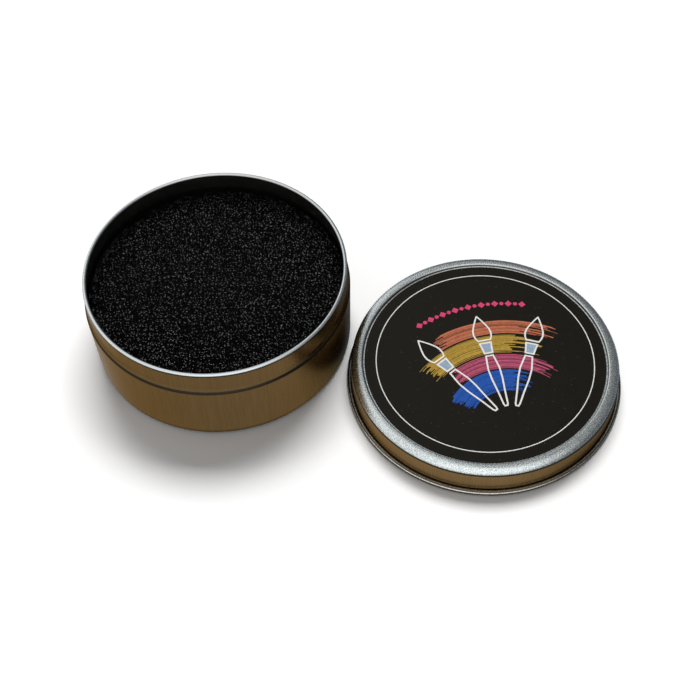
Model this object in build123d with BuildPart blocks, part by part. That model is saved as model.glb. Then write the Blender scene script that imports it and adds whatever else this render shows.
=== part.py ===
from build123d import *
import os

# Round slip-lid tin with a brush-cleaning sponge inside. Millimetres, +Z up.
# The origin is the centre of the tin's underside. The lid lies beside the tin, top side up.
# The tin and the lid are drawn sheet metal, so each is a line through the middle of its sheet,
# thickened and turned about its axis. Bend radii are those of that middle line.

# --- Sheet and fit ---
sheet = 0.25                 # tinplate thickness
neck_radius = 42.5           # outside of the neck that the lid slips over
lid_fit = 0.5                # gap between the neck and the lid's skirt, all round

# --- Tin ---
tin_height = 32.2
shoulder_height = 23.5       # middle of the step that stops the lid's hem
shoulder_rise = 0.9          # the step slopes by this much
shoulder_width = 0.8         # the body stands out from the neck by this much
foot_taper = 0.55            # the drawn wall narrows by this much down to the foot
foot_bend = 1.9
shoulder_outer_bend = 0.4
groove_depth = 0.2           # the roller that forms the step leaves a groove over it
groove_height = 0.6
groove_bend = 0.3
rim_curl = 1.3               # diameter of the rim's inward curl
rim_curl_turn = 300          # degrees
bead_inset = 8.75            # stiffening bead pressed up in the bottom, in from the foot
bead_width = 2.4
bead_flank = 1.0
bead_rise = 0.4
bead_bend = 0.6

# --- Lid ---
lid_height = 11.1
panel_recess = 0.95          # drop from the crown of the lid's shoulder to its panel
crown_bend = 2.6             # the broad round shoulder
crown_flat = 0.2             # level ring between the shoulder and the recess wall
recess_top_bend = 0.6
recess_lean = 0.3            # the recess wall leans out by this much
recess_foot_bend = 0.3
hem_curl = 1.8               # diameter of the hem's outward curl
hem_curl_turn = 300          # degrees
lid_side_gap = 1.1           # between the widest rings of the lid and the tin
lid_bearing = -16            # degrees from +X, seen from the tin's axis

# --- Label ---
label_gap = 0.4              # bare metal between the label and the recess wall
film_thickness = 0.12
glue_thickness = 0.05
glue_inset = 0.3             # the glue stops short of the film's edge

# --- Sponge ---
sponge_fit = 0.4             # gap to the inside of the rim's curl, all round
sponge_seat_gap = 0.3        # gap over the bottom's bead
scrub_thickness = 12.0
scrub_edge_round = 0.3
web_thickness = 0.2
web_inset = 0.8
pad_thickness = 10.4
pad_edge_round = 0.6

os.makedirs("parts", exist_ok=True)

# --- Tin base: one drawn cup with a neck, a step and an inward curl at the rim ---
half_sheet = sheet / 2
body_top_radius = neck_radius + shoulder_width
foot_radius = body_top_radius - foot_taper
bead_radius = foot_radius - bead_inset
groove_radius = neck_radius - groove_depth
groove_foot = shoulder_height + shoulder_rise / 2
rim_bend = rim_curl / 2 - half_sheet
rim_curl_height = tin_height - rim_curl / 2

with BuildPart() as tin_base:
    with BuildSketch(Plane.XZ) as cup_section:
        with BuildLine() as cup_line:
            FilletPolyline(
                (0, half_sheet),
                (bead_radius - bead_width / 2 - bead_flank, half_sheet),
                (bead_radius - bead_width / 2, bead_rise + half_sheet),
                (bead_radius + bead_width / 2, bead_rise + half_sheet),
                (bead_radius + bead_width / 2 + bead_flank, half_sheet),
                (foot_radius - half_sheet, half_sheet),
                (body_top_radius - half_sheet, shoulder_height - shoulder_rise / 2),
                (groove_radius - half_sheet, groove_foot),
                (neck_radius - half_sheet, groove_foot + groove_height),
                (neck_radius - half_sheet, rim_curl_height),
                radius=[
                    bead_bend, bead_bend, bead_bend, bead_bend,
                    foot_bend, shoulder_outer_bend, groove_bend, groove_bend,
                ],
            )
            CenterArc((neck_radius - rim_curl / 2, rim_curl_height), rim_bend, 0, rim_curl_turn)
        trace(line_width=sheet)
    revolve(axis=Axis.Z)
tin_base.part.label = "tin_base"
export_step(tin_base.part, "parts/tin_base.step")

# --- Lid shell: one drawn cap with a recessed panel, a round shoulder and a curled hem ---
skirt_inner_radius = neck_radius + lid_fit
skirt_middle_radius = skirt_inner_radius + half_sheet
recess_top_radius = skirt_middle_radius - crown_bend - crown_flat - recess_top_bend
recess_foot_radius = recess_top_radius - recess_lean
recess_radius = recess_foot_radius - half_sheet
panel_top = lid_height - panel_recess
hem_radius = skirt_inner_radius + hem_curl
hem_bend = hem_curl / 2 - half_sheet
lid_distance = body_top_radius + lid_side_gap + hem_radius
lid_centre = Vector(lid_distance, 0, 0).rotate(Axis.Z, lid_bearing)

with BuildPart() as lid_shell:
    with BuildSketch(Plane(lid_centre, x_dir=(1, 0, 0), z_dir=(0, -1, 0))) as cap_section:
        with BuildLine() as cap_line:
            FilletPolyline(
                (0, panel_top - half_sheet),
                (recess_foot_radius, panel_top - half_sheet),
                (recess_top_radius, lid_height - half_sheet),
                (skirt_middle_radius, lid_height - half_sheet),
                (skirt_middle_radius, hem_curl / 2),
                radius=[recess_foot_bend, recess_top_bend, crown_bend],
            )
            CenterArc((hem_radius - hem_curl / 2, hem_curl / 2), hem_bend, 180, hem_curl_turn)
        trace(line_width=sheet)
    revolve(axis=Axis(lid_centre, (0, 0, 1)))
lid_shell.part.label = "lid_shell"
export_step(lid_shell.part, "parts/lid_shell.step")

# --- Label: a printed vinyl disc on its layer of glue, in the lid's recess ---
label_radius = recess_radius - label_gap
film_foot = panel_top + glue_thickness

with BuildPart() as label_glue:
    with BuildSketch(Plane(lid_centre).offset(panel_top)):
        Circle(label_radius - glue_inset)
    extrude(amount=glue_thickness)
label_glue.part.label = "label_glue"
export_step(label_glue.part, "parts/label_glue.step")

with BuildPart() as label_film:
    with BuildSketch(Plane(lid_centre).offset(film_foot)):
        Circle(label_radius)
    extrude(amount=film_thickness)
label_film.part.label = "label_film"
export_step(label_film.part, "parts/label_film.step")

# --- Sponge: a coarse scrub disc bonded to a soft pad that lifts it up to the rim ---
sponge_radius = neck_radius - rim_curl - sponge_fit
pad_foot = sheet + bead_rise + sponge_seat_gap
web_foot = pad_foot + pad_thickness
scrub_foot = web_foot + web_thickness

with BuildPart() as backing_pad:
    with BuildSketch(Plane.XY.offset(pad_foot)):
        Circle(sponge_radius)
    extrude(amount=pad_thickness)
    fillet(backing_pad.edges().group_by(Axis.Z)[0], pad_edge_round)
backing_pad.part.label = "backing_pad"
export_step(backing_pad.part, "parts/backing_pad.step")

with BuildPart() as bond_web:
    with BuildSketch(Plane.XY.offset(web_foot)):
        Circle(sponge_radius - web_inset)
    extrude(amount=web_thickness)
bond_web.part.label = "bond_web"
export_step(bond_web.part, "parts/bond_web.step")

with BuildPart() as scrub_sponge:
    with BuildSketch(Plane.XY.offset(scrub_foot)):
        Circle(sponge_radius)
    extrude(amount=scrub_thickness)
    fillet(scrub_sponge.edges().group_by(Axis.Z)[-1], scrub_edge_round)
scrub_sponge.part.label = "scrub_sponge"
export_step(scrub_sponge.part, "parts/scrub_sponge.step")
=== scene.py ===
# %% [markdown]
# # A brush-cleaning tin with its lid off
#
# The real thing is a round slip-lid tin. Each half is drawn from one disc of tinplate: the tin has a
# step where the lid's hem stops and a rim curled inwards, the lid has a broad round shoulder, a
# recessed panel with a printed label, and a hem curled outwards. Inside stands a disc of coarse
# open-cell foam on a soft pad, and brushes are swirled on it to clean them dry.
#
# The part comes in as a fixed frame. Everything made here sits exactly where its solids are.

# %% Load the part and the tools
import math
from functools import partial
import bmesh
import bpy
import numpy as np
from mathutils import Euler, Matrix, Vector


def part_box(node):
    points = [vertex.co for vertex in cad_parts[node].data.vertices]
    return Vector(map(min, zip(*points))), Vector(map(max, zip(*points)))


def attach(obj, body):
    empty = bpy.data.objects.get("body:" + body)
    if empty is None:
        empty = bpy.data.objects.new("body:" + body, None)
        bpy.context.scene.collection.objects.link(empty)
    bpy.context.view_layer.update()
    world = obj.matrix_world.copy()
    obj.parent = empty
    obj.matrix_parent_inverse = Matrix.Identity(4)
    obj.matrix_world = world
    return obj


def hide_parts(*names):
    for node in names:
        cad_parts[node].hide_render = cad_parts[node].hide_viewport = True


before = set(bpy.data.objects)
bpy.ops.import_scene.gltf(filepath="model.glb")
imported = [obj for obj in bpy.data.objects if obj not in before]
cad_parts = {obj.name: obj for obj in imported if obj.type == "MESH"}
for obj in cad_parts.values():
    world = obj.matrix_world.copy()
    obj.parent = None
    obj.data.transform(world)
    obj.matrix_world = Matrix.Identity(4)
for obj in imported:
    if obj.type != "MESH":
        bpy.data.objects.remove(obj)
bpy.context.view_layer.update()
MM = 0.001

# %% [markdown]
# ## Helpers
#
# Colours are written as sRGB hex, as a paint program shows them. Blender's sockets want linear
# light, so one function turns one into the other. A second function adds one node with its settings
# and its links and gives back its output, which keeps every material and every Geometry Nodes tree
# readable as a list. What goes in may be a list too, in the order of the node's sockets: a Map Range
# takes its value, from where to where that runs, and to what. A Mix node keeps one set of sockets for
# each kind of data: its colours go in at 6 and 7 and come out at 2. The node types that are used most
# and the settings of a soft range and of a colour mix have a name of their own.

# %% Colour and node helpers
MATH, VECTOR_MATH = "ShaderNodeMath", "ShaderNodeVectorMath"
MAP_RANGE, MIX = "ShaderNodeMapRange", "ShaderNodeMix"
SOFT = {"interpolation_type": "SMOOTHSTEP"}
COLOUR = {"data_type": "RGBA", "out": 2}


def linear(code):
    """An sRGB hex colour as linear RGBA, by the sRGB standard's own curve."""
    parts = [int(code[i:i + 2], 16) / 255 for i in (1, 3, 5)]
    return [p / 12.92 if p <= 0.04045 else ((p + 0.055) / 1.055) ** 2.4 for p in parts] + [1.0]


def add_node(tree, kind, inputs=(), out=0, **settings):
    """One node. inputs gives each socket a value, a hex colour or the output socket that feeds it.

    It returns the output socket that out names or numbers, or all of them where out is None."""
    node = tree.nodes.new(kind)
    for name, value in settings.items():
        setattr(node, name, value)
    for key, value in inputs.items() if isinstance(inputs, dict) else enumerate(inputs):
        if isinstance(value, bpy.types.NodeSocket):
            tree.links.new(value, node.inputs[key])
        else:
            node.inputs[key].default_value = linear(value) if isinstance(value, str) else value
    return node.outputs if out is None else node.outputs[out]


def new_material(name):
    """An empty node material, and the function that adds a node to it."""
    material = bpy.data.materials.new(name)
    material.use_nodes = True
    material.node_tree.nodes.clear()
    return material, partial(add_node, material.node_tree)


def put(thing):
    """Link an object into the scene."""
    bpy.context.scene.collection.objects.link(thing)
    return thing


print("white is", [round(v, 3) for v in linear("#ffffff")], "middle grey", round(linear("#808080")[0], 3))

# %% [markdown]
# ## The camera
#
# A product shot from about 54 degrees above the table, near enough for a little perspective.
# Blender's camera looks along its own -Z, so a turn about X tips it up from straight down, and a
# small turn about its own axis gives the tilt of a hand-held shot.

# %% Camera
LOOK_DOWN = 53.651           # degrees below the horizon
ROLL = -2.178
FIELD_OF_VIEW = 30.768
CAMERA_PLACE = (0.04234, -0.26429, 0.34408)
camera_data = bpy.data.cameras.new("camera")
camera_data.sensor_fit = "HORIZONTAL"
camera_data.angle = math.radians(FIELD_OF_VIEW)
camera_data.clip_start = 0.01
camera = put(bpy.data.objects.new("camera", camera_data))
tip = Euler((math.radians(90 - LOOK_DOWN), 0, 0)).to_matrix()
roll = Matrix.Rotation(math.radians(ROLL), 3, "Z")
camera.matrix_world = Matrix.Translation(CAMERA_PLACE) @ (tip @ roll).to_4x4()
bpy.context.scene.camera = camera
bpy.context.scene.view_settings.view_transform = "Standard"
print("camera", [round(v / MM) for v in camera.location], "mm from the tin's foot")

# %% [markdown]
# ## Light, floor and surroundings
#
# Metal shows its surroundings, so they matter more than the lamps. A studio for a shiny tin has one
# huge soft panel that leans over it from the front, a dimmer one at the left, and a dark-grey room at
# the back right. The world shader builds these from the direction alone: the nearer a direction is to
# a panel's own, the further it is inside that panel.
#
# The shadow comes from one soft box, high behind the tin. It's nearly twice as wide as it is high, so
# the shadow is softer to its sides than towards the front, and so far away that it lights all evenly.

# %% World
def bearing(height, turn):
    """A unit direction from its height and its turn about Z, in degrees."""
    up, around = math.radians(height), math.radians(turn)
    return Vector((math.cos(up) * math.cos(around), math.cos(up) * math.sin(around), math.sin(up)))


# each panel's direction, how near to it the panel starts and is full (1 is straight at it), its light
PANELS = {"front": (bearing(35, -128), 0.14, 0.60, 1.22), "left": (bearing(30, 160), 0.50, 0.62, 0.92)}
PANEL_FOOT = (0.0, 0.20)     # the panels fade in between these heights, the room between the next two
ROOM_RISE = (0.05, 0.60)
ROOM_LIGHT = 0.20
BAND_LIGHT = 0.10            # the horizon is darker than the room above it
FILL_SHARE = 0.38            # of all this, what matt things get


def build_world():
    """Surroundings by direction: two panels, a grey room, a darker horizon."""
    world = bpy.data.worlds.new("studio")
    world.use_nodes = True
    world.node_tree.nodes.clear()
    add = partial(add_node, world.node_tree)
    direction = add("ShaderNodeTexCoord", out="Generated")
    height = add("ShaderNodeSeparateXYZ", [direction], "Z")
    glow = add(MAP_RANGE, [height, *ROOM_RISE, BAND_LIGHT, ROOM_LIGHT], **SOFT)
    above = add(MAP_RANGE, [height, *PANEL_FOOT], **SOFT)
    for toward, edge, full, light in PANELS.values():
        nearness = add(VECTOR_MATH, [direction, toward], "Value", operation="DOT_PRODUCT")
        panel = add(MAP_RANGE, [nearness, edge, full], **SOFT)
        share = add(MATH, [panel, above], operation="MULTIPLY")
        glow = add(MIX, {"Factor": share, "A": glow, "B": light})
    rays = add("ShaderNodeLightPath", out=None)
    share = add(MIX, {"Factor": rays["Is Glossy Ray"], "A": FILL_SHARE, "B": 1.0})
    lit = add(MATH, [glow, share], operation="MULTIPLY")
    strength = add(MIX, {"Factor": rays["Is Camera Ray"], "A": lit, "B": 1.0})
    back = add("ShaderNodeBackground", ["#ffffff", strength])
    add("ShaderNodeOutputWorld", [back], None)
    return world


bpy.context.scene.world = build_world()
print("panels", len(PANELS), "room", ROOM_LIGHT, "horizon", BAND_LIGHT)

# %% Key lamp
KEY_HEIGHT = 59
KEY_BEARING = 82
KEY_LIGHT = 3.15             # watts that each square metre facing the lamp gets
KEY_AWAY = 8.0
KEY_SPREAD = (17, 10)        # degrees from its middle to its sides, and to its top and bottom
key_data = bpy.data.lights.new("key", "AREA")
key_data.shape = "RECTANGLE"
key_data.size, key_data.size_y = (2 * KEY_AWAY * math.tan(math.radians(spread)) for spread in KEY_SPREAD)
key_data.energy = KEY_LIGHT * math.pi * KEY_AWAY ** 2
key = put(bpy.data.objects.new("key", key_data))
key.location = bearing(KEY_HEIGHT, KEY_BEARING) * KEY_AWAY
key.rotation_euler = (math.radians(90 - KEY_HEIGHT), 0, math.radians(KEY_BEARING + 90))
key.visible_glossy = key.visible_camera = False
print("key lamp", KEY_HEIGHT, "degrees up, from bearing", KEY_BEARING)

# %% [markdown]
# ## The floor
#
# A sheet of white card. To the camera it is as white as it is written, and it keeps the shadow. Metal
# sees a pale floor too, almost without the shadow that lies right under its wall, which a real wall
# sees only as a blur. To the right of the tin and of the lid it sees painted dusk instead, a painted
# shade that only metal sees, and the right-hand walls are dark because they mirror it.

# %% Floor
FLOOR_SIDE = 4.0
CARD = {"seen": "#ffffff", "lighting": "#c8c8c6", "mirrored": "#e4e4e2"}
MIRRORED_SHARE = 0.8         # the rest of what metal sees of the floor is the card with its shadow
# each patch fades in between two places to the right and two to the back, in metres
DUSKY = {"between": ((0.020, 0.045), (-0.048, -0.012)), "right": ((0.085, 0.150), (-0.30, -0.20))}
DUSK = "#3c566c"


def white_card():
    """Matt white card, which metal sees as pale, with painted dusk to its right."""
    material, add = new_material("white_card")
    rays = add("ShaderNodeLightPath", out=None)
    tone = add(MIX, {0: rays["Is Camera Ray"], 6: CARD["lighting"], 7: CARD["seen"]}, **COLOUR)
    matt = add("ShaderNodeBsdfDiffuse", [tone])
    spot = add("ShaderNodeSeparateXYZ", [add("ShaderNodeNewGeometry", out="Position")], None)
    # painted shade that only metal sees: dusky patches to the right of the tin and of the lid
    dusk = 0.0
    for (left, right), (near, far) in DUSKY.values():
        to_right = add(MAP_RANGE, [spot["X"], left, right], **SOFT)
        to_back = add(MAP_RANGE, [spot["Y"], near, far], **SOFT)
        patch = add(MATH, [to_right, to_back], operation="MULTIPLY")
        dusk = add(MATH, [patch, dusk], operation="MAXIMUM")
    shown = add(MIX, {0: dusk, 6: CARD["mirrored"], 7: DUSK}, **COLOUR)
    pale = add("ShaderNodeEmission", [shown])
    mirrored = add(MATH, [rays["Is Glossy Ray"], rays["Is Transmission Ray"]], operation="MAXIMUM")
    share = add(MATH, [mirrored, MIRRORED_SHARE], operation="MULTIPLY")
    mix = add("ShaderNodeMixShader", [share, matt, pale])
    add("ShaderNodeOutputMaterial", [mix], None)
    return material


floor_data = bpy.data.meshes.new("floor")
half = FLOOR_SIDE / 2
floor_data.from_pydata([(-half, -half, 0), (half, -half, 0), (half, half, 0), (-half, half, 0)],
                       [], [(0, 1, 2, 3)])
floor_data.materials.append(white_card())
put(bpy.data.objects.new("floor", floor_data))
print("floor", FLOOR_SIDE, "m square")

# %% [markdown]
# ## Drawn sheet metal
#
# A drawn part is a sheet of even thickness bent along a line and carried round an axis. So the line
# through the middle of the sheet is worked out first, with a true arc at every bend. Moving it half a
# sheet to each side gives the two faces. Close to each bend the flat keeps an extra point, as a
# modeller adds a holding loop, so that smooth shading doesn't leak from the bend into the flat.

# %% Line of bent sheet
SHEET = 0.25
HALF = SHEET / 2
ARC_STEP = 9                 # degrees between points on a bend
HOLD = 0.12                  # holding point this far from a bend


def bent_line(corners, radii):
    """Points and left-hand normals along a line of runs with an arc at each inner corner."""
    corners = [np.array(c, float) for c in corners]
    ends = [corners[0]]
    arcs = []
    for before, corner, after, radius in zip(corners, corners[1:], corners[2:], radii):
        into = (corner - before) / np.linalg.norm(corner - before)
        out = (after - corner) / np.linalg.norm(after - corner)
        turn = math.atan2(into[0] * out[1] - into[1] * out[0], float(into @ out))
        reach = radius * math.tan(abs(turn) / 2)
        start = corner - into * reach
        left = np.array([-into[1], into[0]])
        side = 1 if turn > 0 else -1
        centre = start + left * radius * side
        arcs.append((centre, left * side, turn, radius))
        ends += [start, corner + out * reach]
    ends.append(corners[-1])
    points, normals = [], []
    for run in range(len(ends) // 2):
        a, b = ends[2 * run], ends[2 * run + 1]
        length = np.linalg.norm(b - a)
        along = (b - a) / length
        left = np.array([-along[1], along[0]])
        hold = min(HOLD, length / 3)
        for distance in (0, hold, length - hold, length):
            points.append(a + along * distance)
            normals.append(left)
        if run < len(arcs):
            centre, inward, turn, radius = arcs[run]
            steps = max(2, round(abs(math.degrees(turn)) / ARC_STEP))
            side = 1 if turn > 0 else -1
            for step in range(1, steps):
                angle = turn * step / steps
                spin = np.array([[math.cos(angle), -math.sin(angle)], [math.sin(angle), math.cos(angle)]])
                spoke = spin @ -inward
                points.append(centre + spoke * radius)
                normals.append(-spoke * side)
    return np.array(points), np.array(normals)


print("points on a quarter bend:", 90 // ARC_STEP)

# %% Curl at the end of the line, and the sheet's two faces
CURL_TURN = 300              # degrees that each cut edge is rolled in
CURL_POINTS = 36
CORNER_SHARE = 0.72          # how far out the cut end's rounded corners reach, of half a sheet


def add_curl(points, normals, centre, start):
    """The same line carried on round a curl that starts at the given angle, in degrees."""
    centre = np.array(centre, float)
    radius = np.linalg.norm(points[-1] - centre)
    spokes = [math.radians(start + CURL_TURN * step / CURL_POINTS) for step in range(1, CURL_POINTS + 1)]
    spokes = np.array([(math.cos(a), math.sin(a)) for a in spokes])
    return np.vstack([points, centre + spokes * radius]), np.vstack([normals, -spokes])


def sheet_faces(points, normals):
    """One closed section: out along the right-hand face, round the sheet's end, back along the left."""
    along = np.array([normals[-1][1], -normals[-1][0]])
    cut_end = [points[-1] + way * HALF for way in (
        (along - normals[-1]) * CORNER_SHARE, along, (along + normals[-1]) * CORNER_SHARE)]
    section = np.vstack([points - normals * HALF, cut_end, (points + normals * HALF)[::-1]])
    section[0][0] = section[-1][0] = 0
    return section


print("points on a curl:", CURL_POINTS)

# %% [markdown]
# ## Turning a section into a shell
#
# A shell of revolution follows a rule, so Geometry Nodes make it. The tree lays out a plain grid with
# one column for each point of the section and one row for each step of the turn, reads the section's
# points by index, turns each by its row's angle about the axis, and moves the grid there. Merging by
# distance closes the seam and the poles on the axis.
#
# Every tree here starts with named inputs and ends alike: its instances are made real and get their
# finish. Each is run once, on a seed mesh, and only the plain mesh that comes out is kept.

# %% Start, end and run of a Geometry Nodes tree
def new_group(name, result="Geometry", **kinds):
    """A group with the inputs that kinds lists for each kind, the function that adds a node, the inputs."""
    tree = bpy.data.node_groups.new(name, "GeometryNodeTree")
    for kind, labels in kinds.items():
        for label in labels.split(", "):
            tree.interface.new_socket(label, in_out="INPUT", socket_type="NodeSocket" + kind)
    tree.interface.new_socket("Result", in_out="OUTPUT", socket_type="NodeSocket" + result)
    add = partial(add_node, tree)
    return tree, add, add("NodeGroupInput", out=None)


def end_group(add, given, shape):
    """Make a shape's instances real, give it its finish and hand it over."""
    real = add("GeometryNodeRealizeInstances", [shape])
    dressed = add("GeometryNodeSetMaterial", {"Geometry": real, "Material": given["Material"]})
    add("NodeGroupOutput", [dressed], None)


def socket_id(tree, name):
    """The identifier of a named group input, which a modifier's values go by."""
    return next(s.identifier for s in tree.interface.items_tree
                if s.item_type == "SOCKET" and s.in_out == "INPUT" and s.name == name)


def grow(name, seed_mesh, tree, values, material):
    """A plain mesh object, made by running a Geometry Nodes tree once on a seed mesh."""
    seed = put(bpy.data.objects.new(name + "_seed", seed_mesh))
    modifier = seed.modifiers.new("grow", "NODES")
    modifier.node_group = tree
    for key, value in {**values, "Material": material}.items():
        modifier[socket_id(tree, key)] = value
    data = bpy.data.meshes.new_from_object(seed.evaluated_get(bpy.context.evaluated_depsgraph_get()))
    data.name = name
    data.materials.clear()
    data.materials.append(material)
    data.polygons.foreach_set("material_index", np.zeros(len(data.polygons), np.int32))
    bpy.data.objects.remove(seed)
    triangles = sum(len(face.vertices) - 2 for face in data.polygons)
    print(name, len(data.vertices), "points", triangles, "triangles", "finish", material.name)
    return put(bpy.data.objects.new(name, data))


def faces_outwards(piece):
    """Turn a closed shell right side out if its volume says that it is inside out."""
    shell = bmesh.new()
    shell.from_mesh(piece.data)
    if shell.calc_volume(signed=True) < 0:
        bmesh.ops.reverse_faces(shell, faces=shell.faces)
        shell.to_mesh(piece.data)
    print(piece.name, "volume", round(abs(shell.calc_volume()) * 1e9, 1), "cubic mm")
    shell.free()


# %% Geometry Nodes: turn a section about an axis
WELD = 1e-6                  # points closer than this many metres are one


def build_turning_tree():
    """Group that turns a section, drawn in X and Z, about Z in so many steps and sets it on its axis."""
    tree, add, given = new_group("turn_section", Geometry="Section", Int="Steps", Vector="Axis",
                                 Material="Material")
    count = add("GeometryNodeAttributeDomainSize", [given["Section"]], "Point Count")
    rows = add(MATH, [given["Steps"], 1.0], operation="ADD")
    grid = add("GeometryNodeMeshGrid", {"Vertices X": count, "Vertices Y": rows})
    index = add("GeometryNodeInputIndex")
    row = add(MATH, [index, rows], operation="MODULO")
    ratio = add(MATH, [index, rows], operation="DIVIDE")
    column = add(MATH, [ratio], operation="FLOOR")
    point = add("GeometryNodeSampleIndex", {
        "Geometry": given["Section"], "Value": add("GeometryNodeInputPosition"), "Index": column},
        data_type="FLOAT_VECTOR")
    share = add(MATH, [row, given["Steps"]], operation="DIVIDE")
    angle = add(MATH, [share, math.tau], operation="MULTIPLY")
    turned = add("ShaderNodeVectorRotate", {"Vector": point, "Axis": (0, 0, 1), "Angle": angle})
    placed = add(VECTOR_MATH, [turned, given["Axis"]], operation="ADD")
    moved = add("GeometryNodeSetPosition", {"Geometry": grid, "Position": placed})
    closed = add("GeometryNodeMergeByDistance", {"Geometry": moved, "Distance": WELD})
    end_group(add, given, add("GeometryNodeSetShadeSmooth", {"Geometry": closed}))
    return tree


turning_tree = build_turning_tree()
print("turning tree has", len(turning_tree.nodes), "nodes")

# %% [markdown]
# ## Tinplate
#
# Tinplate is thin steel with a skin of tin, so it is a metal: metallic 1, with the colour in the
# reflection. Rolling leaves it satin. The outside of both walls, up to the curl and the crown, has a
# painted reflection of a brown table in its colour, bronze-brown, darker with painted shade at a few
# heights, and drawing has left very fine upright streaks in the wall. The crown and the curls are bare,
# pale and cool, with a fine sparkling grain. Real grains are about 0.1 mm, and they are drawn a third of
# a millimetre wide to show.
#
# The streaks are noise stretched a hundredfold along Z, so they run up the wall from any side. The
# colours change by height and by which way the sheet faces, away from the axis or towards it.

# %% Tinplate material
GRAIN = {"Scale": 2.9, "Detail": 2.0, "Roughness": 0.7}
STREAK = {"Scale": 2.6, "Detail": 3.0, "Roughness": 0.6}
GRAINY, STREAKY = (0.39, 0.61), (0.32, 0.68)          # what each noise runs over from dark to light
STREAK_SQUASH = 0.01         # along Z, which draws each streak out a hundredfold
# painted shade, put on the brown at its top edge, in a ring and towards the foot
PAINTED_SHADE_BROWN = "#37332c"
PAINTED_SHADE_WIDTH = 0.65            # mm of painted shade along the top edge of the brown
BROWN_MIRROR_EDGE = "#e1ceb8"     # what is left of a grazing reflection on the painted brown
# the inside wall's colour, darkened as painted shade
INSIDE_PAINTED_SHADE = "#aeaca7"
INSIDE_ROUGHNESS = 0.28
BELOW = -20.0                # a height under everything
NO_RING = (-9.0, 0.1)        # a ring under the table, for a wall that has none


def millimetres(add, axis=(0, 0)):
    """Object coordinates in mm, counted from an axis."""
    return add("ShaderNodeMapping", {
        "Vector": add("ShaderNodeTexCoord", out="Object"),
        "Location": (-axis[0] / MM, -axis[1] / MM, 0), "Scale": (1 / MM, 1 / MM, 1 / MM)})


def drawn_tinplate(name, axis, bare, mirrored_brown, top, shade_ring, bare_ring, shaded_foot, roughness, grain_depth):
    """Bare grainy tin, with a painted bronze-brown reflection on the outside of the wall. Heights are in mm.

    The bare tin and the painted brown are each a light and a dark colour. The brown stops at top, a height
    and the width of its fade. A ring is a height and half a width. Below the foot height, which is a height
    and its fade, in the shaded ring and along its top edge, the brown is darker with painted shade. In the
    bare ring the brown is left off."""
    material, add = new_material(name)
    place = millimetres(add, axis)
    parts = add("ShaderNodeSeparateXYZ", [place], None)
    flat = add("ShaderNodeCombineXYZ", [parts["X"], parts["Y"]])
    away = add(VECTOR_MATH, [flat], operation="NORMALIZE")
    facing = add(VECTOR_MATH, [away, add("ShaderNodeNewGeometry", out="Normal")], "Value",
                 operation="DOT_PRODUCT")
    outside = add(MAP_RANGE, [facing, 0.0, 0.25], **SOFT)
    # bands that are 1 between two heights and 0 outside them, each with the width of its fades
    stop, fade = top
    band = {"brown_reflection": (BELOW, stop, fade), "foot": (BELOW, *shaded_foot),
            "edge": (stop - fade - PAINTED_SHADE_WIDTH, stop + 1.0, 0.3),
            "ring": (shade_ring[0] - shade_ring[1], shade_ring[0] + shade_ring[1], 0.3),
            "left_bare": (bare_ring[0] - bare_ring[1], bare_ring[0] + bare_ring[1], 0.2)}
    for part, (low, high, soft) in band.items():
        rising = add(MAP_RANGE, [parts["Z"], low, low + soft], **SOFT)
        falling = add(MAP_RANGE, [parts["Z"], high, high - soft], **SOFT)
        band[part] = add(MATH, [rising, falling], operation="MULTIPLY")
    # the painted brown is left off in the bare ring, where the bare tin shows
    kept = add(MATH, [1.0, band["left_bare"]], operation="SUBTRACT")
    brown_mirrored = add(MATH, [outside, band["brown_reflection"]], operation="MULTIPLY")
    brown_mirrored = add(MATH, [brown_mirrored, kept], operation="MULTIPLY")
    # painted shade: darker brown along its top edge, in the shaded ring and towards the foot
    painted_shade = add(MATH, [band["edge"], band["ring"]], operation="MAXIMUM")
    painted_shade = add(MATH, [painted_shade, band["foot"]], operation="MAXIMUM")
    upright = add("ShaderNodeMapping", {"Vector": place, "Scale": (1.0, 1.0, STREAK_SQUASH)})
    streaks = add("ShaderNodeTexNoise", {"Vector": upright, **STREAK})
    streaky = add(MAP_RANGE, [streaks, *STREAKY])
    grain = add("ShaderNodeTexNoise", {"Vector": place, **GRAIN})
    grainy = add(MAP_RANGE, [grain, *GRAINY])
    # the inside touched no roller: its shine is even and rougher, and its colour is darkened as painted
    # shade
    inside = add(MAP_RANGE, [facing, -0.3, -0.9])
    # painted reflection of a brown table, with streaks
    tint = add(MIX, {0: streaky, 6: mirrored_brown[1], 7: mirrored_brown[0]}, **COLOUR)
    brown_reflection = add(MIX, {0: painted_shade, 6: tint, 7: PAINTED_SHADE_BROWN}, **COLOUR)
    skin = add(MIX, {0: grainy, 6: bare[1], 7: bare[0]}, **COLOUR)
    colour = add(MIX, {0: brown_mirrored, 6: skin, 7: brown_reflection}, **COLOUR)
    colour = add(MIX, {0: inside, 6: colour, 7: INSIDE_PAINTED_SHADE}, **COLOUR)
    edge = add(MIX, {0: brown_mirrored, 6: "#ffffff", 7: BROWN_MIRROR_EDGE}, **COLOUR)
    rough = add(MAP_RANGE, [grain, 0.3, 0.7, roughness[0], roughness[1]])
    rough = add(MIX, {"Factor": inside, "A": rough, "B": INSIDE_ROUGHNESS})
    relief = add(MIX, {"Factor": brown_mirrored, "A": grain, "B": streaks})
    strength = add(MAP_RANGE, {"Value": inside, "To Min": 0.5, "To Max": 0.02})
    bump = add("ShaderNodeBump", {"Strength": strength, "Distance": grain_depth * MM, "Height": relief})
    metal = add("ShaderNodeBsdfPrincipled", {
        "Base Color": colour, "Metallic": 1.0, "Roughness": rough, "Specular Tint": edge, "Normal": bump})
    add("ShaderNodeOutputMaterial", [metal], None)
    return material


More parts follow.
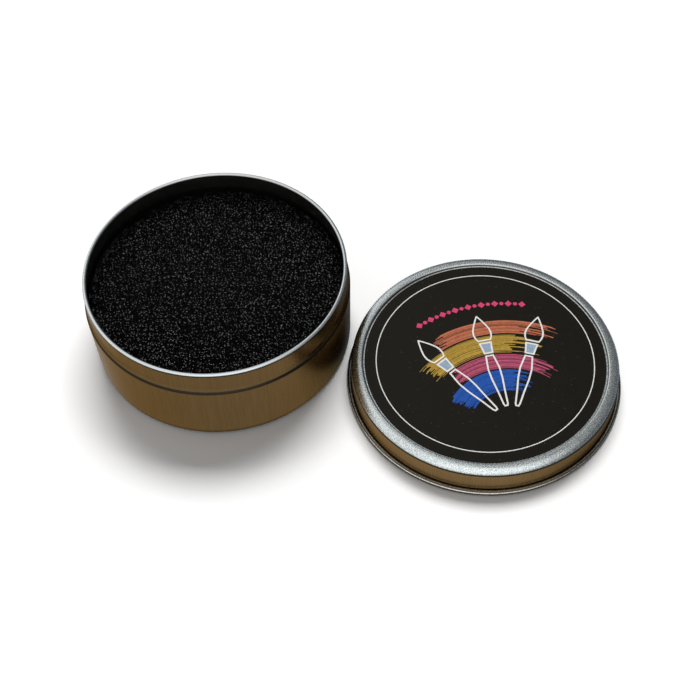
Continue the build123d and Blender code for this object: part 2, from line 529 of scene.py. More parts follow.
tin_axis = Vector((0, 0, 0))
lid_axis = Vector(((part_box("lid_shell")[0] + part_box("lid_shell")[1]) / 2).xy.to_3d())
tin_finish = drawn_tinplate(
    "drawn_tinplate_tin", tin_axis, bare=("#e0e7e9", "#d8dfe1"), mirrored_brown=("#786140", "#6e573a"),
    top=(31.86, 0.15), shade_ring=(23.5, 0.65), bare_ring=NO_RING, shaded_foot=(3.2, 2.0),
    roughness=(0.24, 0.34), grain_depth=0.006)
lid_finish = drawn_tinplate(
    "drawn_tinplate_lid", lid_axis, bare=("#fbffff", "#b0bcbe"), mirrored_brown=("#8e7450", "#846b49"),
    top=(9.8, 0.3), shade_ring=(2.1, 0.35), bare_ring=(1.48, 0.2), shaded_foot=(5.3, 5.5),
    roughness=(0.18, 0.36), grain_depth=0.12)
print("lid axis", [round(v / MM, 2) for v in lid_axis])

# %% [markdown]
# ## The tin and its lid
#
# The tin: bottom with a stiffening bead, a foot bend, a wall that widens a little towards its top, the
# step, a neck, and the inward curl that hides the cut edge. The lid: a recessed panel, the crown round
# it, the skirt and the outward curl of its hem. Each has its line, its bends' radii and its curl.

# %% Tin and lid shells
TURN_STEPS = 288
# body, solid, axis, finish, corners of the line, radii of its bends, middle and start of its curl
SHELLS = {
    "tin_shell": ("tin", "tin_base", tin_axis, tin_finish,
                  [(0, 0.125), (31.8, 0.125), (32.8, 0.525), (35.2, 0.525), (36.2, 0.125), (42.625, 0.125),
                   (43.16, 23.3), (42.72, 24.0), (42.375, 25.1), (42.375, 31.55)],
                  [0.6, 0.6, 0.6, 0.6, 1.9, 0.4, 0.3, 0.3], (41.85, 31.55), 0),
    "lid_cap": ("lid", "lid_shell", lid_axis, lid_finish,
                [(0, 10.025), (39.425, 10.025), (39.725, 10.975), (43.125, 10.975), (43.125, 0.9)],
                [0.3, 0.4, 2.5], (43.9, 0.9), 180)}


def section_mesh(name, section):
    """A mesh of points and edges that follows a section, X for the radius and Z for the height."""
    data = bpy.data.meshes.new(name)
    edges = [(i, i + 1) for i in range(len(section) - 1)]
    data.from_pydata([(x * MM, 0, z * MM) for x, z in section], edges, [])
    return data


for name, (body, node, axis, finish, corners, radii, curl, curl_start) in SHELLS.items():
    section = sheet_faces(*add_curl(*bent_line(corners, radii), curl, curl_start))
    shell = grow(name, section_mesh(name + "_section", section), turning_tree,
                 {"Steps": TURN_STEPS, "Axis": axis}, finish)
    faces_outwards(shell)
    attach(shell, body)
    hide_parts(node)

# %% [markdown]
# ## The scrubbing foam
#
# Brushes are swirled on a reticulated polyurethane foam: its bubbles' skins have been burnt away, and
# only the struts along their edges are left. Bubbles that fill space meet four struts to a corner, and
# the evenest packing of that kind is Kelvin's: one small pattern of 12 corners and 24 struts that
# repeats on a cubic lattice. So Geometry Nodes repeat that pattern, tilted so that no row lies along
# the cut, weld it into one net, push it about by noise until it's as uneven as real foam, trim it to
# the disc and give each strut a three-sided tube, as real ones have.
#
# Only the top and the side need the net. What lies deeper is one rough dark body.

# %% Sizes and the repeating pattern of the foam
FOAM_CELL = 1.15             # a bubble is about this wide
FOAM_STRUT = 0.048           # radius of the round that its three-sided tube fits in
FOAM_DEPTH = 1.08            # how thick the net is before what lies deeper is left to the core
FOAM_JITTER, FOAM_WARP = 0.30, 1.4                    # how far a corner may shake, and a region drift
FOAM_LOW, FOAM_HIGH = (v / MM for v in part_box("scrub_sponge"))
SQUEEZE = 1.0                # the curl squeezes the foam by this much; past it, it springs out again
FOAM_RADIUS = (FOAM_HIGH[0] - FOAM_LOW[0]) / 2 + SQUEEZE
STRUT_LENGTH = 8 ** -0.5     # in a cube of side 1
NEAR = 0.01                  # lengths in that cube that differ by less are the same


def foam_pattern():
    """Corners and struts of Kelvin's foam that belong to one cube of the lattice, 1 wide."""
    home = []
    for y, z in ((1, 2), (2, 0), (0, 1)):
        for a, b in ((0.25, 0.5), (0.5, 0.25), (0.75, 0.5), (0.5, 0.75)):
            corner = [0.0, 0.0, 0.0]
            corner[y], corner[z] = a, b
            home.append(corner)
    home = np.array(home)
    shifts = np.array([(i, j, k) for i in (-1, 0, 1) for j in (-1, 0, 1) for k in (-1, 0, 1)], float)
    every = (home[None] + shifts[:, None]).reshape(-1, 3)
    points, struts, used = [], [], {}
    for a in range(len(every)):
        for b in range(a + 1, len(every)):
            middle = (every[a] + every[b]) / 2
            near = abs(np.linalg.norm(every[a] - every[b]) - STRUT_LENGTH) < NEAR
            if near and (middle > -NEAR).all() and (middle < 1 - NEAR).all():
                for end in (a, b):
                    if end not in used:
                        used[end] = len(points)
                        points.append(every[end])
                struts.append((used[a], used[b]))
    data = bpy.data.meshes.new("foam_pattern")
    data.from_pydata([tuple(p) for p in points], struts, [])
    print("foam pattern:", len(points), "points", len(struts), "struts")
    return data


pattern = put(bpy.data.objects.new("foam_pattern", foam_pattern()))

# %% Geometry Nodes: what lies outside the shell of the foam
def build_outside_tree():
    """Group that says whether a point is off the disc, or too deep inside it to be seen."""
    tree, add, given = new_group("outside_foam_shell", "Bool", Float="Radius, Top, Foot, Depth, Margin")
    place = add("GeometryNodeInputPosition")
    height = add("ShaderNodeSeparateXYZ", [place], "Z")
    flat = add(VECTOR_MATH, [place, (1, 1, 0)], operation="MULTIPLY")
    reach = add(VECTOR_MATH, [flat], "Value", operation="LENGTH")
    past_side = add(MATH, [reach, given["Radius"]], operation="SUBTRACT")
    past_top = add(MATH, [height, given["Top"]], operation="SUBTRACT")
    past_foot = add(MATH, [given["Foot"], height], operation="SUBTRACT")
    skin = add(MATH, [past_side, past_top], operation="MAXIMUM")
    past = add(MATH, [skin, past_foot], operation="MAXIMUM")
    off = add(MATH, [past, given["Margin"]], operation="GREATER_THAN")
    limit = add(MATH, [given["Depth"], given["Margin"]], operation="ADD")
    limit = add(MATH, [limit, -1.0], operation="MULTIPLY")
    deep = add(MATH, [skin, limit], operation="LESS_THAN")
    add("NodeGroupOutput", [add(MATH, [off, deep], operation="MAXIMUM")], None)
    return tree


outside_tree = build_outside_tree()
print("outside tree has", len(outside_tree.nodes), "nodes")

# %% Geometry Nodes: the net of struts
FOAM_TILT = (0.43, 0.29, 0.61)
FOAM_SEED = 7
WELD_SHARE = 0.05            # of a cell: corners of neighbouring copies that are closer are one
LATTICE_REACH = 2.3          # a tilted lattice this many disc radii wide still covers the disc
DRIFT_SCALE = 330.0          # regions that drift together are about 3 mm wide
TRIM_SLACK = 0.00013         # what lies this little past the disc is pulled back onto it, not cut off


def build_foam_tree():
    """Group with the foam's sizes as inputs, in metres. It gives a closed tube for each strut."""
    tree, add, given = new_group("foam_net", Geometry="Seed mesh", Object="Pattern", Material="Material",
                                 Float="Cell, Radius, Top, Foot, Depth, Strut, Jitter, Warp")
    # lattice of n x n x n points: the index is split into three whole numbers
    wide = add(MATH, [given["Radius"], given["Cell"]], operation="DIVIDE")
    wide = add(MATH, [wide, LATTICE_REACH], operation="MULTIPLY")
    side = add(MATH, [wide], operation="CEIL")
    square = add(MATH, [side, side], operation="MULTIPLY")
    cube = add(MATH, [square, side], operation="MULTIPLY")
    index = add(MATH, [add("GeometryNodeInputIndex"), 0.5], operation="ADD")
    split = add("ShaderNodeCombineXYZ", [
        index, add(MATH, [index, side], operation="DIVIDE"), add(MATH, [index, square], operation="DIVIDE")])
    whole = add(VECTOR_MATH, [split], operation="FLOOR")
    sides = add("ShaderNodeCombineXYZ", [side, side, side])
    lattice = add(VECTOR_MATH, [whole, sides], operation="MODULO")
    halfway = add(VECTOR_MATH, {0: sides, "Scale": 0.5}, operation="SCALE")
    centred = add(VECTOR_MATH, [lattice, halfway], operation="SUBTRACT")
    spaced = add(VECTOR_MATH, {0: centred, "Scale": given["Cell"]}, operation="SCALE")
    tilted = add("ShaderNodeVectorRotate", {"Vector": spaced, "Rotation": FOAM_TILT},
                 rotation_type="EULER_XYZ")
    middle = add(MATH, [given["Top"], given["Foot"]], operation="ADD")
    middle = add(MATH, [middle, 0.5], operation="MULTIPLY")
    raised = add(VECTOR_MATH, [tilted, add("ShaderNodeCombineXYZ", {"Z": middle})], operation="ADD")
    points = add("GeometryNodePoints", [cube, raised])
    sizes = {name: given[name] for name in ("Radius", "Top", "Foot", "Depth")}
    spare = add(MATH, [given["Cell"], given["Warp"]], operation="ADD")
    far = add("GeometryNodeGroup", {**sizes, "Margin": spare}, node_tree=outside_tree)
    near = add("GeometryNodeDeleteGeometry", [points, far])
    # the pattern on every point, welded
    shape = add("GeometryNodeObjectInfo", [given["Pattern"]], "Geometry")
    copies = add("GeometryNodeInstanceOnPoints", {
        "Points": near, "Instance": shape, "Rotation": FOAM_TILT, "Scale": given["Cell"]})
    loose = add("GeometryNodeRealizeInstances", [copies])
    weld = add(MATH, [given["Cell"], WELD_SHARE], operation="MULTIPLY")
    net = add("GeometryNodeMergeByDistance", {"Geometry": loose, "Distance": weld})
    # uneven bubbles: every corner moves a little, and whole regions drift
    place = add("GeometryNodeInputPosition")
    jitter = add("FunctionNodeRandomValue", {"Min": (-1, -1, -1), "Max": (1, 1, 1), "Seed": FOAM_SEED},
                 data_type="FLOAT_VECTOR")
    shake = add(VECTOR_MATH, {0: jitter, "Scale": given["Jitter"]}, operation="SCALE")
    cloud = add("ShaderNodeTexNoise", {"Vector": place, "Scale": DRIFT_SCALE, "Detail": 1.0}, "Color")
    drift = add(VECTOR_MATH, [cloud, (0.5, 0.5, 0.5)], operation="SUBTRACT")
    drift = add(VECTOR_MATH, {0: drift, "Scale": given["Warp"]}, operation="SCALE")
    offset = add(VECTOR_MATH, [shake, drift], operation="ADD")
    uneven = add("GeometryNodeSetPosition", {"Geometry": net, "Offset": offset})
    # trim, and bring the cut ends onto the disc's faces
    out = add("GeometryNodeGroup", {**sizes, "Margin": TRIM_SLACK}, node_tree=outside_tree)
    cut = add("GeometryNodeDeleteGeometry", [uneven, out])
    flat = add(VECTOR_MATH, [place, (1, 1, 0)], operation="MULTIPLY")
    reach = add(VECTOR_MATH, [flat], "Value", operation="LENGTH")
    reach = add(MATH, [reach, given["Radius"]], operation="MAXIMUM")
    pull = add(MATH, [given["Radius"], reach], operation="DIVIDE")
    pulled = add(VECTOR_MATH, {0: place, "Scale": pull}, operation="SCALE")
    pulled = add("ShaderNodeSeparateXYZ", [pulled], None)
    level = add(MATH, [add("ShaderNodeSeparateXYZ", [place], "Z"), given["Top"]], operation="MINIMUM")
    level = add(MATH, [level, given["Foot"]], operation="MAXIMUM")
    seat = add("ShaderNodeCombineXYZ", [pulled["X"], pulled["Y"], level])
    seated = add("GeometryNodeSetPosition", {"Geometry": cut, "Position": seat})
    # a three-sided tube along each strut
    lines = add("GeometryNodeMeshToCurve", [seated])
    ring = add("GeometryNodeCurvePrimitiveCircle", {"Resolution": 3, "Radius": given["Strut"]})
    tubes = add("GeometryNodeCurveToMesh", {"Curve": lines, "Profile Curve": ring, "Fill Caps": True})
    end_group(add, given, tubes)
    return tree


foam_tree = build_foam_tree()
print("foam tree has", len(foam_tree.nodes), "nodes")

# %% [markdown]
# ## Black foam
#
# Foamed polyurethane dyed black in the mix. The topmost struts carry painted highlights: they are
# grey and matt, so they show as short grey marks, while the struts below keep the foam's black. There is
# about one mark to each bubble, so they lie evenly spread. So the colour of the net changes over its
# last 0.6 mm, in one small spot for each cell of a pattern.

# %% Foam materials
GLINT_DEPTHS = (0.65, 0.045)         # depths under the cut face where the painted highlights start and are full
GLINT_CELLS = {"Scale": 1.1, "Randomness": 0.85}       # seen from above, one spot to each cell of 0.9 mm
GLINT_SPOT = (0.36, 0.16)     # distances from a spot's middle where it starts and is full, in cells
SKIN_BLACK = "#020202"
# the grey of the painted highlights
GLINT_GREY = "#a4a6a9"


def foam_strut_finish(top):
    """Black struts with painted grey highlights in spots just below a cut face at the height top, in mm."""
    material, add = new_material("reticulated_polyurethane")
    place = millimetres(add)
    height = add("ShaderNodeSeparateXYZ", [place], "Z")
    near_cut = add(MAP_RANGE, [height, top - GLINT_DEPTHS[0], top - GLINT_DEPTHS[1]], **SOFT)
    away = add("ShaderNodeTexVoronoi", {"Vector": place, **GLINT_CELLS}, voronoi_dimensions="2D")
    spot = add(MAP_RANGE, [away, *GLINT_SPOT])
    # painted highlights: grey spots on the struts just below the cut face
    glint = add(MATH, [near_cut, spot], operation="MULTIPLY")
    shade = add(MIX, {0: glint, 6: SKIN_BLACK, 7: GLINT_GREY}, **COLOUR)
    rough = add(MAP_RANGE, {"Value": glint, "To Min": 0.45, "To Max": 0.75})
    foam = add("ShaderNodeBsdfPrincipled", {
        "Base Color": shade, "Roughness": rough, "Specular IOR Level": 0.04})
    add("ShaderNodeOutputMaterial", [foam], None)
    return material


def cut_foam_finish(name, pale, deep, pore_scale, pore_depth):
    """Sawn black foam, darker in its pores with painted shade. They are 1 / pore_scale mm wide."""
    material, add = new_material(name)
    pores = add("ShaderNodeTexVoronoi", {"Vector": millimetres(add), "Scale": pore_scale})
    # painted shade: each pore is darker towards its middle, where it is deepest
    shaded_pore = add(MAP_RANGE, [pores, 0.0, 0.6])
    shade = add(MIX, {0: shaded_pore, 6: deep, 7: pale}, **COLOUR)
    bump = add("ShaderNodeBump", {"Strength": 0.6, "Distance": pore_depth * MM, "Height": pores})
    foam = add("ShaderNodeBsdfPrincipled", {
        "Base Color": shade, "Roughness": 0.9, "Specular IOR Level": 0.15, "Normal": bump})
    add("ShaderNodeOutputMaterial", [foam], None)
    return material


strut_finish = foam_strut_finish(FOAM_HIGH[2])
core_finish = cut_foam_finish("cut_polyurethane_core", "#060606", "#020202", 0.8, 0.2)
pad_finish = cut_foam_finish("soft_polyurethane_pad", "#232325", "#0b0b0c", 2.2, 0.25)
print("foam finishes", strut_finish.name, core_finish.name, pad_finish.name)

# %% The net
foam_net = grow("scrub_foam_net", bpy.data.meshes.new("foam_seed"), foam_tree, {
    "Pattern": pattern, "Radius": (FOAM_RADIUS - FOAM_STRUT) * MM, "Depth": FOAM_DEPTH * MM,
    "Top": (FOAM_HIGH[2] - FOAM_STRUT) * MM, "Foot": (FOAM_LOW[2] + FOAM_STRUT) * MM,
    "Cell": FOAM_CELL * MM, "Strut": FOAM_STRUT * MM, "Jitter": FOAM_JITTER * MM,
    "Warp": FOAM_WARP * MM}, strut_finish)
bpy.data.objects.remove(pattern)
faces_outwards(foam_net)
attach(foam_net, "sponge")
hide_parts("scrub_sponge")

# %% [markdown]
# ## The core and the soft pad
#
# The rest of the scrubbing disc is a body with a rough skin, kept well under the cut face so that the
# net casts its own shadows into it. The pad below is finer foam, die-cut: the knife squeezes it, so its
# side is a little hollow and its edges are rounded. Both are turned from a section that has a point
# every 0.8 mm, which gives the noise that roughens them something to move.

# %% Geometry Nodes: roughen a body
def build_roughening_tree():
    """Group that pushes each point along its normal by noise. Depth in metres, Scale in 1 / metres."""
    tree, add, given = new_group("roughen", Geometry="Body", Float="Depth, Scale", Material="Material")
    place = add("GeometryNodeInputPosition")
    grain = add("ShaderNodeTexNoise", {"Vector": place, "Scale": given["Scale"], "Detail": 1.0})
    inward = add(MATH, [grain, -1.0], operation="MULTIPLY")
    inward = add(MATH, [inward, given["Depth"]], operation="MULTIPLY")
    push = add(VECTOR_MATH, {0: add("GeometryNodeInputNormal"), "Scale": inward}, operation="SCALE")
    end_group(add, given, add("GeometryNodeSetPosition", {"Geometry": given["Body"], "Offset": push}))
    return tree


roughening_tree = build_roughening_tree()
print("roughening tree has", len(roughening_tree.nodes), "nodes")

# %% Core and pad
SPACING = 0.8
BEND_POINTS = 5
DISC_STEPS = 240


def disc_section(radius, low, high, corner, hollow):
    """Closed section of a disc: rounded edges, and a side that is hollow by the given depth."""
    middle, half = (low + high) / 2, (high - low) / 2 - corner
    flat = np.arange(0, radius - corner, SPACING)
    rise = np.linspace(-1, 1, max(4, round(2 * half / SPACING)))
    bend = np.radians(np.linspace(0, 90, BEND_POINTS))
    foot = [(r, low) for r in flat]
    foot += [(radius - corner + corner * math.sin(a), low + corner - corner * math.cos(a)) for a in bend]
    side = [(radius - hollow * (1 - v * v), middle + half * v) for v in rise[1:-1]]
    return foot + side + [(r, low + high - z) for r, z in reversed(foot)]


def turned_disc(name, node, section, finish, depth, scale):
    """A foam disc turned from its section, with a skin roughened to the given depth in mm."""
    smooth = grow(name + "_smooth", section_mesh(name + "_section", section), turning_tree,
                  {"Steps": DISC_STEPS, "Axis": tin_axis}, finish)
    faces_outwards(smooth)
    disc = grow(name, smooth.data, roughening_tree, {"Depth": depth * MM, "Scale": scale / MM}, finish)
    bpy.data.objects.remove(smooth)
    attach(disc, "sponge")
    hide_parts(node)


PAD_LOW, PAD_HIGH = (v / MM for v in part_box("backing_pad"))
PAD_RADIUS = (PAD_HIGH[0] - PAD_LOW[0]) / 2 + SQUEEZE
# radius, foot, top, how round its edges are, how hollow its side is. The core stays inside the net.
core_section = disc_section(FOAM_RADIUS - 0.9, FOAM_LOW[2] + 0.02, FOAM_HIGH[2] - 1.2, 0.5, 0.0)
pad_section = disc_section(PAD_RADIUS, PAD_LOW[2], PAD_HIGH[2], 1.1, 0.6)
turned_disc("scrub_foam_core", "scrub_sponge", core_section, core_finish, 0.7, 0.9)
turned_disc("soft_pad", "backing_pad", pad_section, pad_finish, 0.12, 1.6)

# %% [markdown]
# ## The label
#
# A round of black calendered vinyl, printed and laminated, so ink and film share one satin skin. The
# film's solid already has the right shape and only needs its finish. The glue under it, an acrylic
# that stays milky at its edge, and the hot-melt web between the two foams keep their solids too.
#
# The print is real geometry, a hundredth of a millimetre thick, because an image can't be used and a
# print that is drawn by shader maths is hard to read and to change. Its bottom is sunk into the film
# by a few thousandths, so nothing floats and no two faces fight.

# %% Vinyl, ink, glue and web finishes
DUST = "#a8a69e"
DUST_SCALE = 0.9             # cells of 1.1 mm
DUST_SHARE = 0.2             # every fifth of them holds a grain
DUST_REACH = 0.11            # of a cell, which makes it 0.2 mm wide
ORANGE_PEEL = {"Scale": 1.7, "Detail": 1.0}           # 0.6 mm from crest to crest


def satin_vinyl(name, colour, mottle, dust=0.0):
    """Laminated vinyl or its ink. mottle is how far the colour wanders, dust how much of it shows."""
    material, add = new_material(name)
    place = millimetres(add)
    cloud = add("ShaderNodeTexNoise", {"Vector": place, "Scale": 1.1, "Detail": 3.0})
    wander = add(MAP_RANGE, [cloud, 0.35, 0.65, 1.0 - mottle, 1.0 + mottle])
    tone = add(VECTOR_MATH, {0: linear(colour)[:3], "Scale": wander}, operation="SCALE")
    # grains of dust are about 0.1 mm, and are drawn twice as wide to show
    cell = add("ShaderNodeTexVoronoi", {"Vector": place, "Scale": DUST_SCALE}, None)
    grain = add(MATH, [cell["Distance"], DUST_REACH], operation="LESS_THAN")
    lot = add("ShaderNodeSeparateXYZ", [cell["Color"]], "X")
    chosen = add(MATH, [lot, DUST_SHARE], operation="LESS_THAN")
    speck = add(MATH, [grain, chosen], operation="MULTIPLY")
    speck = add(MATH, [speck, dust], operation="MULTIPLY")
    shade = add(MIX, {0: speck, 6: tone, 7: DUST}, **COLOUR)
    rough = add(MAP_RANGE, [cloud, 0.3, 0.7, 0.34, 0.44])
    peel = add("ShaderNodeTexNoise", {"Vector": place, **ORANGE_PEEL})
    bump = add("ShaderNodeBump", {"Strength": 0.25, "Distance": 0.01 * MM, "Height": peel})
    film = add("ShaderNodeBsdfPrincipled", {
        "Base Color": shade, "Roughness": rough, "IOR": 1.46, "Specular IOR Level": 0.25, "Normal": bump})
    add("ShaderNodeOutputMaterial", [film], None)
    return material


def fibre_layer(name, gap, thread, scale, roughness):
    """A thin layer that is a net of threads on a ground, both given as colours. Cells of 1 / scale mm."""
    material, add = new_material(name)
    edge = add("ShaderNodeTexVoronoi", {"Vector": millimetres(add), "Scale": scale},
               feature="DISTANCE_TO_EDGE")
    threads = add(MAP_RANGE, [edge, 0.04, 0.12, 1.0, 0.0])
    shade = add(MIX, {0: threads, 6: gap, 7: thread}, **COLOUR)
    bump = add("ShaderNodeBump", {"Strength": 0.5, "Distance": 0.05 * MM, "Height": threads})
    layer = add("ShaderNodeBsdfPrincipled", {
        "Base Color": shade, "Roughness": roughness, "Specular IOR Level": 0.3, "Normal": bump})
    add("ShaderNodeOutputMaterial", [layer], None)
    return material


# the solids that keep their own shape
for node, material in {
        "label_film": satin_vinyl("black_laminated_vinyl", "#100e08", 0.10, dust=0.2),
        "label_glue": fibre_layer("acrylic_adhesive", "#c9c9bf", "#dcdcd4", 1.3, 0.35),
        "bond_web": fibre_layer("hot_melt_web", "#0d0d0e", "#3a3a3c", 0.7, 0.55)}.items():
    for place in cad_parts[node].material_slots:
        place.material = material
    print(node, "finish", material.name)

# %% [markdown]
# ## The print
#
# A thin white ring frames it. Inside lie four strokes of a dry flat brush, swept round one point, with
# three outlined brushes fanned over them and a garland of dots and diamonds above.
#
# A dry stroke is many bristle tracks side by side: each starts and ends where its bristle touched and
# lifted. So Geometry Nodes lay one thin straight bar for each bristle, with a random start, end and
# width, in a plane where X is the angle and Y the radius, and then bend the whole stroke in one step.
# Another small tree sets dots or diamonds along an arc. The ring is a section turned like the shells.
# The brushes' outlines are flat curves with a hole, which Blender fills and gives a thickness.

# %% Ring
INK = 0.012                  # thickness of a printed layer
SUNK = 0.003
FILM_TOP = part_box("label_film")[1][2] / MM
PRINT_LOW = FILM_TOP - SUNK
PRINT_TURN = 12              # the label was stuck on a little turned, in degrees
RING_RADIUS = 35.1
RING_WIDTH = 0.34


def printed(piece):
    """What every printed piece needs: right side out, and riding on the lid."""
    faces_outwards(piece)
    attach(piece, "lid")


white_ink = satin_vinyl("white_screen_ink", "#dcdcd8", 0.04)
near, far = RING_RADIUS - RING_WIDTH / 2, RING_RADIUS + RING_WIDTH / 2
low, high = PRINT_LOW, FILM_TOP + INK
ring_section = [(near, low), (far, low), (far, high), (near, high), (near, low)]
printed(grow("print_ring", section_mesh("ring_section", ring_section), turning_tree,
             {"Steps": TURN_STEPS, "Axis": lid_axis}, white_ink))

# %% Geometry Nodes: a dry brush stroke
# what is random about each bristle: its range, and a number that keeps it apart from the others
BRISTLE = {"spot": (0.2, 0.8, 11), "start": (-0.25, 0.25, 23), "end": (-1.0, 0.6, 37),
           "width": (0.45, 1.25, 53), "height": (0.8, 1.0, 71)}
BAR_POINTS = 20


def build_stroke_tree():
    """Group with a stroke's sizes in metres and radians. It bends one bar for each bristle round Centre."""
    tree, add, given = new_group(
        "dry_stroke", Geometry="Seed mesh", Int="Bristles, Seed", Vector="Centre", Material="Material",
        Float="Inner, Outer, Start, End, Ragged, Low, Ink, Turn")
    chance = {}
    for part, (low, high, salt) in BRISTLE.items():
        seed = add(MATH, [given["Seed"], float(salt)], operation="ADD")
        chance[part] = add("FunctionNodeRandomValue", {2: low, 3: high, "Seed": seed}, 1)
    wide = add(MATH, [given["Outer"], given["Inner"]], operation="SUBTRACT")
    pitch = add(MATH, [wide, given["Bristles"]], operation="DIVIDE")
    spot = add(MATH, [add("GeometryNodeInputIndex"), chance["spot"]], operation="ADD")
    radius = add(MATH, [spot, pitch, given["Inner"]], operation="MULTIPLY_ADD")
    early = add(MATH, [given["Ragged"], chance["start"]], operation="MULTIPLY")
    first = add(MATH, [given["Start"], early], operation="SUBTRACT")
    last = add(MATH, [given["Ragged"], chance["end"], given["End"]], operation="MULTIPLY_ADD")
    span = add(MATH, [last, first], operation="SUBTRACT")
    middle = add(MATH, [span, 0.5, first], operation="MULTIPLY_ADD")
    level = add(MATH, [given["Ink"], 0.5, given["Low"]], operation="MULTIPLY_ADD")
    place = add("ShaderNodeCombineXYZ", [middle, radius, level])
    spots = add("GeometryNodePoints", [given["Bristles"], place])
    bar = add("GeometryNodeMeshCube", {"Size": (1, 1, 1), "Vertices X": BAR_POINTS})
    width = add(MATH, [pitch, chance["width"]], operation="MULTIPLY")
    height = add(MATH, [given["Ink"], chance["height"]], operation="MULTIPLY")
    size = add("ShaderNodeCombineXYZ", [span, width, height])
    bars = add("GeometryNodeInstanceOnPoints", {"Points": spots, "Instance": bar, "Scale": size})
    loose = add("GeometryNodeRealizeInstances", [bars])
    flat = add("ShaderNodeSeparateXYZ", [add("GeometryNodeInputPosition")], None)
    angle = add(MATH, [flat["X"], given["Turn"]], operation="ADD")
    waves = [add(MATH, [angle], operation=wave) for wave in ("SINE", "COSINE")]
    across, along = (add(MATH, [flat["Y"], wave], operation="MULTIPLY") for wave in waves)
    bent = add("ShaderNodeCombineXYZ", [across, along, flat["Z"]])
    placed = add(VECTOR_MATH, [bent, given["Centre"]], operation="ADD")
    end_group(add, given, add("GeometryNodeSetPosition", {"Geometry": loose, "Position": placed}))
    return tree


stroke_tree = build_stroke_tree()
print("stroke tree has", len(stroke_tree.nodes), "nodes")

# %% Strokes
FAN_PIVOT = (1.0, -26.0)     # all strokes and brushes fan out from here, in mm from the label's middle
BRISTLE_PITCH = 0.30
RAGGED = 14                  # degrees by which a bristle may stop short
# colour, inner and outer radius, and the angles where it starts and ends
STROKES = {"blue": ("#2350a0", 13.0, 21.0, -48, 32), "pink": ("#b0506c", 21.6, 27.2, -28, 44),
           "ochre": ("#a8893a", 27.8, 35.0, -37, 27), "coral": ("#b0664a", 35.6, 41.0, -20, 32)}
label_turn = Matrix.Rotation(math.radians(PRINT_TURN), 3, "Z")
fan_centre = lid_axis + label_turn @ Vector((FAN_PIVOT[0] * MM, FAN_PIVOT[1] * MM, 0))
on_label = {"Low": PRINT_LOW * MM, "Ink": (INK + SUNK) * MM, "Turn": -math.radians(PRINT_TURN),
            "Centre": fan_centre}
for number, (colour, (code, inner, outer, start, end)) in enumerate(STROKES.items()):
    printed(grow(colour + "_stroke", bpy.data.meshes.new("stroke_seed"), stroke_tree, {
        "Bristles": round((outer - inner) / BRISTLE_PITCH), "Inner": inner * MM, "Outer": outer * MM,
        "Start": math.radians(start), "End": math.radians(end), "Ragged": math.radians(RAGGED),
        "Seed": 100 * number + 5, **on_label}, satin_vinyl(colour + "_screen_ink", code, 0.12)))

# %% Outlined brushes
OUTLINE = 0.55
LINE_HEIGHT, FILL_HEIGHT = 2 * INK, 1.6 * INK         # lines are printed over the fills and the strokes
OVERLAP = 0.05               # a fill runs this far under its outline
OUTLINE_POINTS = 40
THINNEST = 0.04              # a tip ends where half its width is less
FAN = (-27, 2, 29)           # degrees from straight up
# how far along the brush, and half how wide
BRUSH = {"handle": [(7.0, 0.6), (8.0, 0.95), (13, 1.4), (18, 2.0), (22, 2.15), (25, 1.75), (27.4, 1.4)],
         "ferrule": [(28.0, 1.6), (30.0, 1.8), (32.6, 2.2)],
         "head": [(33.2, 2.2), (34.6, 2.9), (36.1, 3.2), (37.8, 3.0), (40.0, 2.15), (42.2, 1.05),
                  (44.0, 0.0)]}


def brush_loop(stations, inset):
    """The closed outline of one part of the brush, drawn inwards by inset."""
    along, half = np.array(stations).T
    steps = np.linspace(along[0] + inset, along[-1] - inset, OUTLINE_POINTS)
    widths = np.interp(steps, along, half) - inset
    kept = [(w, y) for w, y in zip(widths, steps) if w > THINNEST]
    return kept + [(-w, y) for w, y in reversed(kept)]


def printed_shape(name, loops, place, top, material):
    """A thin closed plate with the given loops, each inner one a hole, set at its place on the label."""
    curve = bpy.data.curves.new(name, "CURVE")
    curve.dimensions = "2D"
    curve.fill_mode = "BOTH"
    curve.extrude = (top - PRINT_LOW) / 2 * MM
    for loop in loops:
        spline = curve.splines.new("POLY")
        spline.points.add(len(loop) - 1)
        for point, (x, y) in zip(spline.points, loop):
            point.co = (x * MM, y * MM, 0, 1)
        spline.use_cyclic_u = True
    drawn = put(bpy.data.objects.new(name + "_curve", curve))
    data = bpy.data.meshes.new_from_object(drawn.evaluated_get(bpy.context.evaluated_depsgraph_get()))
    bpy.data.objects.remove(drawn)
    data.transform(place @ Matrix.Translation((0, 0, (PRINT_LOW + top) / 2 * MM)))
    plate = bmesh.new()
    plate.from_mesh(data)
    bmesh.ops.remove_doubles(plate, verts=plate.verts, dist=WELD / 10)
    bmesh.ops.recalc_face_normals(plate, faces=plate.faces)
    plate.to_mesh(data)
    plate.free()
    data.materials.clear()
    data.materials.append(material)
    printed(put(bpy.data.objects.new(name, data)))


filled_ink = satin_vinyl("grey_blue_screen_ink", "#8fa0b4", 0.10)
for number, fan in enumerate(FAN):
    place = Matrix.Translation(fan_centre) @ Matrix.Rotation(math.radians(PRINT_TURN - fan), 4, "Z")
    for part, stations in BRUSH.items():
        loops = [brush_loop(stations, 0.0), brush_loop(stations, OUTLINE)]
        printed_shape(f"brush_{number}_{part}_line", loops, place, FILM_TOP + LINE_HEIGHT, white_ink)
    fill = [brush_loop(BRUSH["ferrule"], OUTLINE - OVERLAP)]
    printed_shape(f"brush_{number}_ferrule_fill", fill, place, FILM_TOP + FILL_HEIGHT, filled_ink)

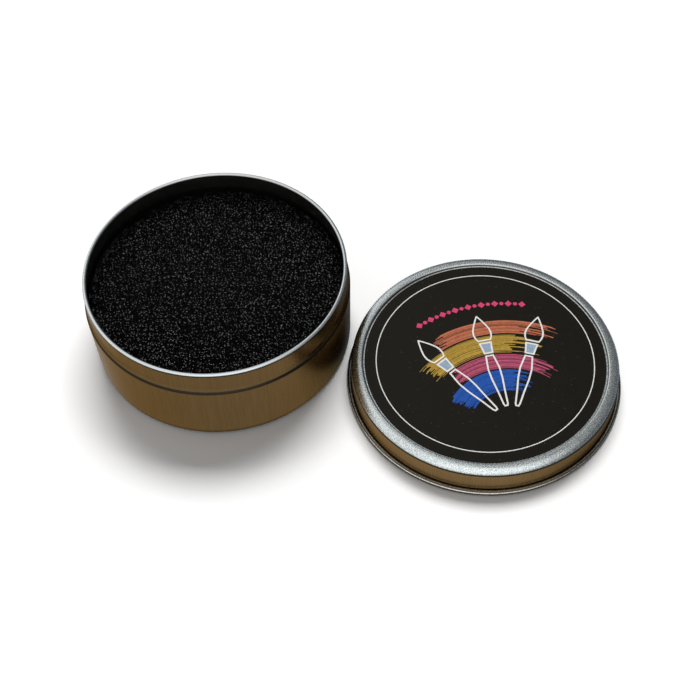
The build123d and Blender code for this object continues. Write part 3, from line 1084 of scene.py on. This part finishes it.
# %% Geometry Nodes: a garland of dots or diamonds
def build_garland_tree():
    """Group that sets flat many-sided dots along an arc, each with a corner pointing outwards."""
    tree, add, given = new_group("garland", Geometry="Seed mesh", Int="Count, Sides", Vector="Centre",
                                 Float="Radius, Step, Size, Low, Ink, Turn", Material="Material")
    last = add(MATH, [given["Count"], 1.0], operation="SUBTRACT")
    middle = add(MATH, [last, 0.5], operation="MULTIPLY")
    centred = add(MATH, [add("GeometryNodeInputIndex"), middle], operation="SUBTRACT")
    angle = add(MATH, [centred, given["Step"], given["Turn"]], operation="MULTIPLY_ADD")
    waves = [add(MATH, [angle], operation=wave) for wave in ("SINE", "COSINE")]
    across, along = (add(MATH, [given["Radius"], wave], operation="MULTIPLY") for wave in waves)
    level = add(MATH, [given["Ink"], 0.5, given["Low"]], operation="MULTIPLY_ADD")
    spot = add("ShaderNodeCombineXYZ", [across, along, level])
    placed = add(VECTOR_MATH, [spot, given["Centre"]], operation="ADD")
    spots = add("GeometryNodePoints", [given["Count"], placed])
    dot = add("GeometryNodeMeshCylinder", {
        "Vertices": given["Sides"], "Radius": given["Size"], "Depth": given["Ink"]})
    outwards = add("ShaderNodeCombineXYZ", {"Z": add(MATH, [angle, -1.0], operation="MULTIPLY")})
    dots = add("GeometryNodeInstanceOnPoints", {"Points": spots, "Instance": dot, "Rotation": outwards})
    end_group(add, given, dots)
    return tree


garland_tree = build_garland_tree()
print("garland tree has", len(garland_tree.nodes), "nodes")

# %% Garland
GARLAND_RADIUS = 48.0
GARLAND_STEP = 5.4           # degrees from dot to dot
garland_ink = satin_vinyl("rose_screen_ink", "#c8436a", 0.08)
GARLANDS = {"garland_dots": (8, 20, 0.7), "garland_diamonds": (9, 4, 1.25)}     # how many, sides, size
for name, (count, sides, size) in GARLANDS.items():
    printed(grow(name, bpy.data.meshes.new("garland_seed"), garland_tree, {
        "Count": count, "Sides": sides, "Radius": GARLAND_RADIUS * MM, "Step": math.radians(GARLAND_STEP),
        "Size": size * MM, **on_label}, garland_ink))
